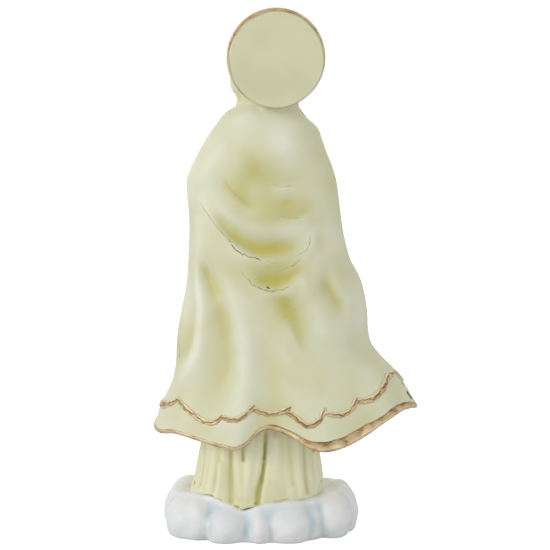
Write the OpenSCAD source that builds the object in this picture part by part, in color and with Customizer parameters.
// Standing madonna with joined hands, a hooded mantle, a plate halo and a cloud base.
// The figure faces -Y, its left is +X, and z = 0 is the underside of the felt.

/* [Overall] */
// Height from the felt to the top of the halo, in mm
total_h = 210; // [120:5:400]

/* [Base] */
// Half width of the cloud, side to side
cloud_half_w = 37; // [34:1:40]
// Half depth of the cloud, front to back
cloud_half_d = 29; // [27:1:32]
// Number of lobes round the cloud
cloud_lobes = 10; // [7:1:14]
// Thickness of the felt pad
felt_t = 1; // [0.5:0.1:2]

/* [Mantle] */
// Wall of the mantle casting over the body
mantle_wall = 3.4; // [3:0.1:3.8]
// Wall of the mantle casting at its hem
hem_wall = 2.4; // [1.8:0.1:3]
// Height of the folds that stand out of the mantle
fold_h = 1.8; // [0.5:0.1:2.4]

/* [Head] */
// Wall of the hood
hood_wall = 1.8; // [1.4:0.1:2.2]
// Radius of the skull under the hair
skull_r = 9.9; // [9:0.1:10.3]
// Turn of the head towards its left, in degrees
head_turn = 12; // [0:1:20]

/* [Halo] */
// Radius of the halo plate
halo_r = 18.8; // [17:0.1:20]
// Radius of the raised rim on the front of the halo
rim_r = 19.5; // [19.2:0.1:20.6]
// Thickness of the halo plate
halo_t = 2; // [1.5:0.1:3]
// Backward lean of the halo, in degrees
halo_lean = 7; // [0:1:8]
// Turn of the halo towards the figure's left, in degrees
halo_turn = 8; // [0:1:12]

/* [Hidden] */

design_h = 210; // height at which every value below is drawn
k = total_h / design_h;
gap = 0.1; // glue line between castings
seat_gap = 0.25; // wider glue line round the foot of the pleated gown
$fn = 48;

resin_cream = [0.86, 0.85, 0.70];
resin_white = [0.85, 0.87, 0.87];
gold_paint = [0.78, 0.58, 0.33];
skin_paint = [0.90, 0.70, 0.58];
hair_paint = [0.42, 0.27, 0.15];

body_power = 0.83;  // roundness of the mantle's and the gown's plan: 1 is an ellipse
rod_r = 2.5;
rod_z = [4, 152];
rod_x = 1;
rod_clearance = 0.15;
cloud_top = 13; // where the gown stands on the cloud
cloud_rows = 7;
lobe_phase = 20; // degrees
lobe_swell = 0.11; // how far a lobe stands out, as a share of the cloud's radius
lobe_rise = 5.5; // height of a lobe above the seat
groove_share = 0.97; // radius of a groove between lobes, as a share of the cloud's
crown_share = 0.34; // how far the cloud draws in at its top
foot_round = 1.6; // rounding at the cloud's foot
felt_inset = 1.5;
seat_rise = 12; // height to which the seat is cut for the gown

waist_z = [125, 130]; // lower and upper edge of the girdle
tenon_r = 8;
neck_x = -1;
neck_z = 169;
head_c = [-0.5, -0.6, 190]; // centre of the hood and the skull
halo_c = [-5.5, 15.3, 190]; // centre of the plate's front face
rim_shift = [-0.1, -0.6]; // the rim's middle from the plate's, across and down
rim_t = 1.4;
rim_w = 3;
peg_r = 1.6;

// Mantle outline at each height: z, left edge, right edge, back and front half depth.
mantle_rows = [
    [38, 43.8, -62.6, 30.5, 12], [46, 41.4, -61.8, 28.6, 12], [54, 38.4, -60.2, 26, 13],
    [62, 36, -56.4, 23.5, 14], [67, 35.2, -52.6, 22.4, 14.6], [72, 34.6, -48, 21.5, 15],
    [82, 33.6, -42.8, 20, 16], [92, 32.2, -42.5, 19, 16.5], [102, 30.6, -39.8, 18.5, 17],
    [115, 29.9, -34.2, 18, 17.5], [130, 30.3, -31.4, 17.2, 19], [140, 30.5, -30.2, 16.8, 21],
    [147, 29, -28.4, 16.8, 20], [155, 25.3, -25.4, 16.5, 16.5], [161, 22, -23.2, 15, 14.5],
    [166, 18, -20, 13.2, 12.5], [170, 13, -15.6, 11.4, 10], [172.5, 9.8, -13.9, 10.4, 9]];
// How far round to the front the mantle's two edges reach, in degrees past each side.
wrap_rows = [[38, 12], [55, 20], [75, 34], [100, 46], [125, 54], [142, 57], [160, 52], [172.5, 42]];
// Height of the hem at each angle round the figure, from its left over its back to its right.
hem_rows = [[-20, 46], [0, 42], [54, 41.2], [70, 38.8], [76, 41.5], [82, 47], [88, 46.4], [94, 41.5],
    [101, 38.3], [108, 38.5], [126, 44], [150, 51.5], [180, 52], [200, 57]];
collar_z = 160; // above this the wall thins towards the neck, to collar_share of its thickness
collar_share = 0.7;
lining_z = 66; // above this the lining loses its folds
slot_y = -18.6; // front of the mantle's inside at the arms
slot_half_w = 15;
mantle_around = 56;
mantle_up = 30;
// Long folds: angle at the hem, angle at the top, width, foot height, head height, share of fold_h.
folds = [[28, 12, 9, 40, 150, 1], [69, 52, 7, 36, 125, 1], [104, 74, 7, 36, 115, 1],
    [150, 140, 12, 40, 100, 0.8], [83, 70, 5, 36, 90, -0.9], [52, 40, 8, 40, 120, -0.9],
    [120, 95, 7, 60, 122, -0.8]];
// Gown outline: z, left edge, right edge, back and front half depth.
gown_rows = [[11, 30.6, -24, 25, 24], [22, 28, -24.8, 23.6, 22.5], [34, 25.2, -23, 21.4, 20],
    [50, 24.5, -22.8, 19, 18], [70, 24, -24, 16.4, 15.4], [92, 24.3, -27.6, 14.6, 12.8],
    [110, 24.4, -28.4, 14, 12.2], [waist_z[0], 24.8, -27.2, 13.2, 11.5]];
bodice_rows = [[waist_z[1], 25.2, -27, 13, 11.8], [140, 26.2, -25.8, 12.6, 12.4],
    [147, 24.6, -24, 12.6, 12.4], [155, 21, -21.2, 12.2, 11.4], [161, 17.6, -18.8, 11.2, 10],
    [166, 13.6, -15.4, 9.8, 8.6], [neck_z, 9.4, -11.4, 8.4, 7.2]];
gown_pleats = 13;
pleat_h = 0.7;
pleat_fade = 60; // height over which the pleats die away towards the girdle
tenon_h = 20;
tenon_drop = 9; // how far the bodice's tenon reaches below the girdle
girdle_bulge = 0.5;
girdle_round = 0.12; // loss of bulge for each mm from the girdle's middle
foot_at = [1, 6, -24]; // middle of the pair, half their spacing, and y
foot_turn = 10;
heel_r = 3;
toe_r = 2.9;
toe_h = 1.8;

// ---------- shared functions ----------

function blend(a, b, t) = a + (b - a) * t;
function unit(t) = min(1, max(0, t));
function ease(t) = let (u = unit(t)) u * u * (3 - 2 * u);
function signed_power(a, p) = sign(a) * pow(abs(a), p);
function bell(t) = exp(-t * t);

// Index of the table row at or below q, never the last one.
function row_at(rows, q) = min(len(rows) - 2, max([0, for (i = [0:len(rows) - 1]) if (rows[i][0] <= q) i]));
function slope(rows, i, c) = let (a = max(0, i - 1), b = min(len(rows) - 1, i + 1))
    (rows[b][c] - rows[a][c]) / (rows[b][0] - rows[a][0]);
// Column c of a table at q, on a smooth curve through the rows.
function smooth_at(rows, q, c) =
    let (i = row_at(rows, q), h = rows[i + 1][0] - rows[i][0], t = unit((q - rows[i][0]) / h),
        a = rows[i][c], b = rows[i + 1][c], da = slope(rows, i, c) * h, db = slope(rows, i + 1, c) * h)
    a * (2 * t * t * t - 3 * t * t + 1) + b * (3 * t * t - 2 * t * t * t)
    + da * (t * t * t - 2 * t * t + t) + db * (t * t * t - t * t);

// A point of an outline table at height z and angle a, set in from the outline by inset.
function outline_point(rows, z, a, inset) =
    let (l = smooth_at(rows, z, 1), r = smooth_at(rows, z, 2),
        mid = (l + r) / 2, half = (l - r) / 2 - inset,
        deep = (sin(a) > 0 ? smooth_at(rows, z, 3) : smooth_at(rows, z, 4)) - inset)
    [mid + half * signed_power(cos(a), body_power), deep * signed_power(sin(a), body_power), z];

// Triangles between rings of n points, closed round or open, numbered from first.
function ring_faces(rings, n, first = 0, closed = true) = [
    for (j = [0:rings - 2], i = [0:(closed ? n - 1 : n - 2)])
    let (a = first + j * n + i, b = first + j * n + (i + 1) % n)
    each [[a, a + n, b], [b, a + n, b + n]]];
function cap_faces(n, first, up) = [for (i = [1:n - 2])
    up ? [first, first + i + 1, first + i] : [first, first + i, first + i + 1]];

// A closed solid through rings of points that run counter-clockwise, from the bottom up.
module loft(rings) {
    n = len(rings[0]);
    m = len(rings);
    polyhedron([for (r = rings) each r],
        concat(ring_faces(m, n), cap_faces(n, 0, false), cap_faces(n, (m - 1) * n, true)));
}

// One mesh from solids that only touch or cut each other along facets.
module one_mesh() {
    resize([0, 0, 0]) children();
}

module placed() {
    scale(k) children();
}

// ---------- base ----------

function cloud_r(a) = let (w = cloud_half_w, d = cloud_half_d)
    w * d / norm([d * cos(a), w * sin(a)]);
// Share of a lobe's swell at angle a: 1 on its middle, 0 in the groove between two.
function lobe(a) = abs(cos(a * cloud_lobes / 2 + lobe_phase));
// Radius of the cloud at angle a and share t of its height.
function cloud_edge(a, t) =
    cloud_r(a) * (groove_share + lobe_swell * lobe(a)) * (1 - crown_share * pow(t, 3))
    - foot_round * pow(1 - t, 6);
function cloud_rise(a) = cloud_top + lobe_rise * lobe(a) * (0.75 + 0.25 * abs(cos(a)));

module cloud_outline(inset) {
    offset(delta = -inset)
        polygon([for (a = [0:6:354]) cloud_edge(a, 0) * [cos(a), sin(a)]]);
}

module base_felt() placed() {
    color("darkolivegreen")
    linear_extrude(felt_t) cloud_outline(felt_inset);
}

module cloud_lumps() {
    loft([for (j = [0:cloud_rows]) let (t = j / cloud_rows) [for (a = [0:4:356])
        let (r = cloud_edge(a, t)) [r * cos(a), r * sin(a), blend(felt_t, cloud_rise(a), t)]]]);
}

module cloud_base() placed() {
    color(resin_white) one_mesh()
    difference() {
        cloud_lumps();
        gown_form(seat_gap, gown_rows[0][0] - gap, cloud_top + seat_rise, 5);
        rod_hole();
        foot_form(1, gap);
        foot_form(-1, gap);
    }
}

module rod_hole() {
    translate([rod_x, 0, rod_z[0]])
        cylinder(r = rod_r + rod_clearance, h = rod_z[1] - rod_z[0] + 1);
}

module support_rod() placed() {
    color("silver")
    translate([rod_x, 0, rod_z[0]]) cylinder(r = rod_r, h = rod_z[1] - rod_z[0]);
}

// ---------- gown ----------

function pleat(a, z) = pleat_h * ease((waist_z[0] - 5 - z) / pleat_fade) * cos(a * gown_pleats);

// The gown from the height low to the height high, grown a little where it cuts its neighbours.
module gown_form(grow, low, high, rows) {
    loft([for (j = [0:rows]) let (z = blend(low, high, j / rows))
        [for (a = [0:5:355]) outline_point(gown_rows, z, a, -pleat(a, z) - grow)]]);
}

module gown_skirt() placed() {
    color(resin_cream) one_mesh()
    difference() {
        gown_form(0, gown_rows[0][0], waist_z[0], 16);
        rod_hole();
        translate([rod_x, 0, waist_z[0] - tenon_drop - 1]) cylinder(r = tenon_r + gap, h = tenon_h);
    }
}

module girdle() placed() {
    color(gold_paint) one_mesh()
    difference() {
        loft([for (z = [waist_z[0] + gap, (waist_z[0] + waist_z[1]) / 2, waist_z[1] - gap])
            let (bulge = girdle_bulge - girdle_round * abs(z - (waist_z[0] + waist_z[1]) / 2))
            [for (a = [0:6:354]) outline_point(bodice_rows, waist_z[1], a, -bulge) - [0, 0, waist_z[1] - z]]]);
        translate([rod_x, 0, 0]) cylinder(r = tenon_r + gap, h = waist_z[1] + 5);
    }
}

module bodice_form(grow) {
    rows = 12;
    loft([for (j = [0:rows]) let (z = blend(waist_z[1], neck_z, j / rows))
        [for (a = [0:6:354]) outline_point(bodice_rows, z, a, -grow)]]);
}

module bodice() placed() {
    color(resin_cream) one_mesh()
    difference() {
        union() {
            bodice_form(0);
            translate([rod_x, 0, waist_z[0] - tenon_drop]) cylinder(r = tenon_r, h = tenon_h);
        }
        rod_hole();
        neck_dowel(gap);
    }
}

// ---------- feet ----------

// The front of a foot: side is 1 for the figure's left.
module foot_form(side, grow) {
    translate([side * foot_at[1] + foot_at[0], foot_at[2], cloud_top - 1])
    rotate([0, 0, side * foot_turn]) hull() {
        translate([0, 4, 0]) cylinder(r = heel_r + grow, h = heel_r + grow);
        translate([0, -2.5, 0]) cylinder(r = toe_r + grow, h = toe_h + grow);
    }
}

module foot(side) {
    color(skin_paint) one_mesh()
    difference() {
        foot_form(side, 0);
        gown_form(seat_gap, gown_rows[0][0] - gap, cloud_top + seat_rise, 5);
    }
}
module foot_left() placed() foot(1);
module foot_right() placed() foot(-1);

// ---------- sleeves and hands ----------

// Centres and radii along a sleeve, from inside the mantle to the wrist.
sleeve_path = [[22.5, -6, 140, 5], [15.5, -11, 140.5, 6.2], [7.5, -17.4, 143.5, 6.2]];
wrist = [3.3, -19.4, 145.5];
hand_lean = 24; // lean of the fingers forward from upright
finger_l = 9;
palm_l = 9;
wrist_r = 2;
palm_r = 3.2; // half width of the palm
finger_tip_r = 1.1;
thumb_r = [1.3, 1];
sleeve_squash = [0.85, 0.8, 1];

module mirrored(side) {
    scale([side, 1, 1]) children();
}

module sleeve(side) {
    color(resin_cream) one_mesh()
    difference() {
        intersection() {
            mirrored(side) for (i = [0:1]) hull() for (p = [sleeve_path[i], sleeve_path[i + 1]])
                translate([p[0], p[1], p[2]]) scale(sleeve_squash) sphere(r = p[3], $fn = 28);
            translate([side > 0 ? gap : -40 - gap, -40, 100]) cube([40, 60, 60]);
        }
        bodice_form(gap);
        mantle_clearance(gap);
        translate([0, 0, waist_z[1] - 10 - gap]) cube([80, 80, 20], center = true);
        mirrored(side) hand_form(gap);
    }
}
module sleeve_left() placed() sleeve(1);
module sleeve_right() placed() sleeve(-1);

// The left hand, palm against the plane x = 0, with its wrist inside the cuff.
module hand_form(grow) {
    intersection() {
        translate(wrist) rotate([hand_lean, 0, 0]) {
            hull() {
                translate([-0.4, 0, -5]) cylinder(r = wrist_r + grow, h = 1, $fn = 24);
                translate([-1.2, 0, palm_l - 2]) scale([0.62, 1, 1]) sphere(r = palm_r + grow, $fn = 24);
            }
            hull() {
                translate([-1.5, 0.2, palm_l - 1]) scale([0.5, 1, 1]) sphere(r = palm_r - 0.1 + grow, $fn = 24);
                translate([-2.2, -0.6, palm_l + finger_l - 1.2]) sphere(r = finger_tip_r + grow, $fn = 24);
            }
            hull() {
                translate([-1, 2.4, 3.5]) sphere(r = thumb_r[0] + grow, $fn = 24);
                translate([-2, 3, palm_l + 1.5]) sphere(r = thumb_r[1] + grow, $fn = 24);
            }
        }
        translate([gap / 2, -60, 100]) cube([20, 80, 100]);
    }
}
module hand_left() placed() color(skin_paint) one_mesh() hand_form(0);
module hand_right() placed() color(skin_paint) one_mesh() mirrored(-1) hand_form(0);

// ---------- mantle ----------

function fold_out(a, z) = fold_h * fold_sum(a, z, 0);
function fold_sum(a, z, i) = i >= len(folds) ? 0 :
    let (f = folds[i], t = unit((z - f[3]) / (f[4] - f[3])), middle = blend(f[0], f[1], t),
        fade = ease((f[4] - z) / 25))
    f[5] * fade * bell((a - middle) / f[2]) + fold_sum(a, z, i + 1);
function mantle_span(z) = smooth_at(wrap_rows, z, 1);
function mantle_top() = mantle_rows[len(mantle_rows) - 1][0];

// Point of the mantle at share u of the way round and v of the way up. Share w is 0 on its outside.
function mantle_point(u, v, w) =
    let (rough = blend(-20, 200, u), low = smooth_at(hem_rows, rough, 1),
        z = blend(low, mantle_top(), pow(v, 0.85)),
        a = blend(-mantle_span(z), 180 + mantle_span(z), u),
        thin = z > collar_z ? blend(1, collar_share, (z - collar_z) / (mantle_top() - collar_z)) : 1,
        wall = blend(hem_wall, mantle_wall, ease((z - 55) / 40)) * thin,
        out = fold_out(a, z) * (w > 0 ? 1 - ease((z - lining_z) / 20) : 1))
    outline_point(mantle_rows, z, a, w * wall - out);

module mantle_shell(around, up) {
    n = around + 1;
    half = n * (up + 1);
    outer = [for (j = [0:up], i = [0:around]) mantle_point(i / around, j / up, 0)];
    inner = [for (j = [0:up], i = [0:around]) mantle_point(i / around, j / up, 1)];
    skin = ring_faces(up + 1, n, 0, false);
    back = [for (f = ring_faces(up + 1, n, half, false)) [f[0], f[2], f[1]]];
    hem = [for (i = [0:around - 1]) each [[i, i + 1, half + i], [i + 1, half + i + 1, half + i]]];
    top = [for (i = [0:around - 1]) let (a = up * n + i)
        each [[a, half + a, a + 1], [a + 1, half + a, half + a + 1]]];
    left = [for (j = [0:up - 1]) let (a = j * n) each [[a, half + a, a + n], [a + n, half + a, half + a + n]]];
    right = [for (j = [0:up - 1]) let (a = j * n + around)
        each [[a, a + n, half + a], [a + n, half + a + n, half + a]]];
    polyhedron(concat(outer, inner), concat(skin, back, hem, top, left, right));
}

// All that lies outside the mantle's inner face round the arms, except between its two edges.
module mantle_clearance(grow) {
    difference() {
        translate([-60, -40, 100]) cube([120, 80, 80]);
        loft([for (z = [99:4:175]) let (q = min(z, mantle_top()))
            [for (a = [0:6:354])
                let (p = outline_point(mantle_rows, q, a, mantle_wall + grow)) [p[0], p[1], z]]]);
        translate([-60, -60, 90]) cube([120, 60 + slot_y, 100]);
        translate([-slot_half_w, -60, 90]) cube([2 * slot_half_w, 60, 100]);
    }
}

module mantle() placed() {
    color(resin_cream) mantle_shell(mantle_around, mantle_up);
}

// ---------- head ----------

dowel_r = 3;
dowel_l = 10;
neck_r = [5.6, 4.9];
neck_l = 12;
peg_l = 12;
skull_up = 1.5; // middle of the skull above the head's
cheek_r = 7.6;
chin_r = 3.4;
nose_r = [0.9, 1.2];
hair_low = 177;
hair_arch = 6.6; // half width and top of the arch in the hair
hood_arch = [8.8, 8.6]; // half width and top of the arch in the hood

module neck_dowel(grow) {
    translate([neck_x, 0, neck_z + 1 - dowel_l]) cylinder(r = dowel_r + grow, h = dowel_l);
}

module halo_axis() {
    translate(halo_c) rotate([0, 0, halo_turn]) rotate([-90 - halo_lean, 0, 0]) children();
}

module peg(grow) {
    halo_axis() translate([0, 0, 1 - peg_l]) cylinder(r = peg_r + grow, h = peg_l);
}

module at_head() {
    translate(head_c) rotate([0, 0, head_turn]) children();
}

module head() placed() {
    color(skin_paint)
    difference() {
        union() {
            neck_dowel(0);
            translate([neck_x, 0, neck_z + gap]) cylinder(r1 = neck_r[0], r2 = neck_r[1], h = neck_l);
            at_head() translate([0, 0, skull_up]) sphere(r = skull_r);
            at_head() hull() {
                translate([0, -2.6, 0]) sphere(r = cheek_r, $fn = 32);
                translate([0, -5.6, -8.6]) sphere(r = chin_r, $fn = 32);
            }
            at_head() hull() {
                translate([0, -9.6, 1]) sphere(r = nose_r[0], $fn = 24);
                translate([0, -11, -3]) sphere(r = nose_r[1], $fn = 24);
            }
        }
        peg(gap);
    }
}

// A round cap about the head's axis between two profiles, open at the face.
hood_profile = [[10.9, -17], [11.8, -15], [13, -11.5], [13.5, -7], [13.5, -2], [13, 4], [11, 9],
    [6.8, 13], [0, 15]];

module cap_solid(inset, low) {
    intersection() {
        translate(head_c)
        rotate_extrude($fn = 64) difference() {
            offset(delta = -inset)
                polygon(concat(hood_profile, [[-3, 15], [-3, -17 - 2 * inset], [10.9, -17 - 2 * inset]]));
            translate([-10, -50]) square([10, 100]);
        }
        translate([-30, -30, low]) cube([60, 60, 240 - low]);
    }
}

// The arch that the face looks out of.
module face_arch(half_w, top) {
    at_head() rotate([90, 0, 0]) translate([0, 0, 1.5])
    linear_extrude(30) union() {
        translate([0, top - half_w]) circle(r = half_w);
        translate([-half_w, -30]) square([2 * half_w, 30 + top - half_w]);
    }
}

module hood() placed() {
    color(resin_cream)
    difference() {
        cap_solid(0, mantle_top() + gap);
        cap_solid(hood_wall, mantle_top());
        face_arch(hood_arch[0], hood_arch[1]);
        peg(gap);
    }
}

module hair() placed() {
    color(hair_paint)
    difference() {
        cap_solid(hood_wall + gap, hair_low);
        at_head() translate([0, 0, skull_up]) sphere(r = skull_r + gap);
        at_head() translate([0, 0, -30]) cylinder(r = skull_r + gap, h = 30 + skull_up);
        face_arch(hair_arch, hair_arch);
        peg(gap);
    }
}

// ---------- halo ----------

module halo_plate() placed() {
    color(resin_cream)
    difference() {
        halo_axis() cylinder(r = halo_r, h = halo_t, $fn = 96);
        peg(gap);
    }
}

module halo_rim() placed() {
    color(gold_paint)
    halo_axis() translate([rim_shift[0], rim_shift[1], -gap - rim_t]) difference() {
        cylinder(r = rim_r, h = rim_t, $fn = 96);
        translate([0, 0, -1]) cylinder(r = rim_r - rim_w, h = rim_t + 2, $fn = 96);
    }
}

module halo_peg() placed() {
    color("silver") peg(0);
}

base_felt();
cloud_base();
support_rod();
gown_skirt();
foot_left();
foot_right();
girdle();
bodice();
sleeve_left();
sleeve_right();
hand_left();
hand_right();
mantle();
head();
hair();
hood();
halo_plate();
halo_rim();
halo_peg();
